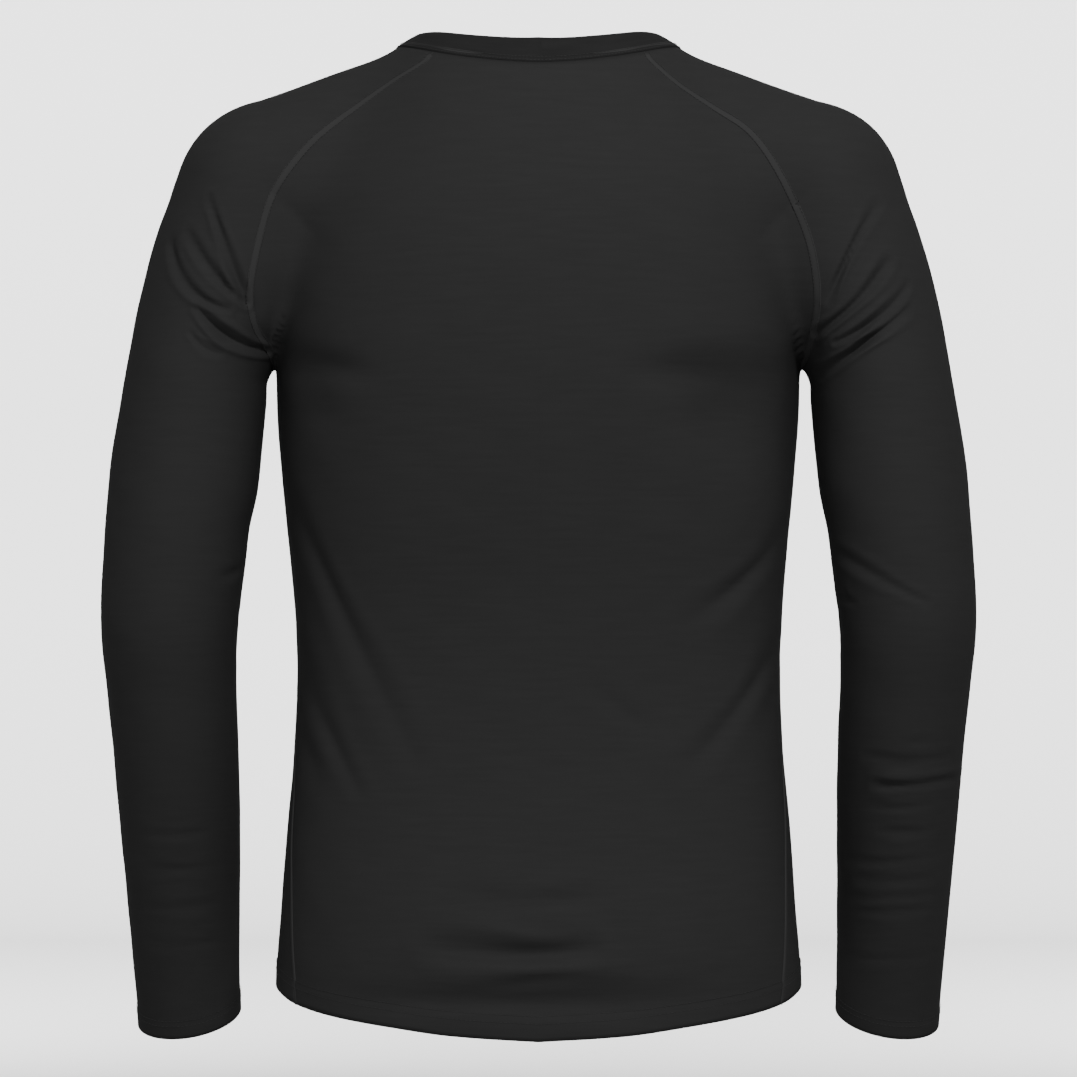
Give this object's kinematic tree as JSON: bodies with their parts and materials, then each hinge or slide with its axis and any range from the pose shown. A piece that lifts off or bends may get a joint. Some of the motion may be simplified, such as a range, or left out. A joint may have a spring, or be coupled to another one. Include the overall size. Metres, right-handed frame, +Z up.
{
  "type": "base layer top",
  "caption": "Long-sleeved crew-neck base layer top in thin black stretch jersey with raglan sleeves, filled out as worn, open at neck, hem and cuffs.",
  "frame": {"origin": "middle of the neck opening, level with the highest points of the neck seam, where the top hangs from the wearer's shoulders", "axes": "+Z up, -Y the way the wearer faces, +X to the wearer's left"},
  "size_m": [0.6112, 0.2465, 0.7054],
  "materials": {
    "jersey": "matte",
    "neckband": "matte"
  },
  "bodies": {
    "root": {"back": "jersey", "front": "jersey", "sleeve_left": "jersey", "sleeve_right": "jersey", "neckband": "neckband"}
  },
  "joints": []
}
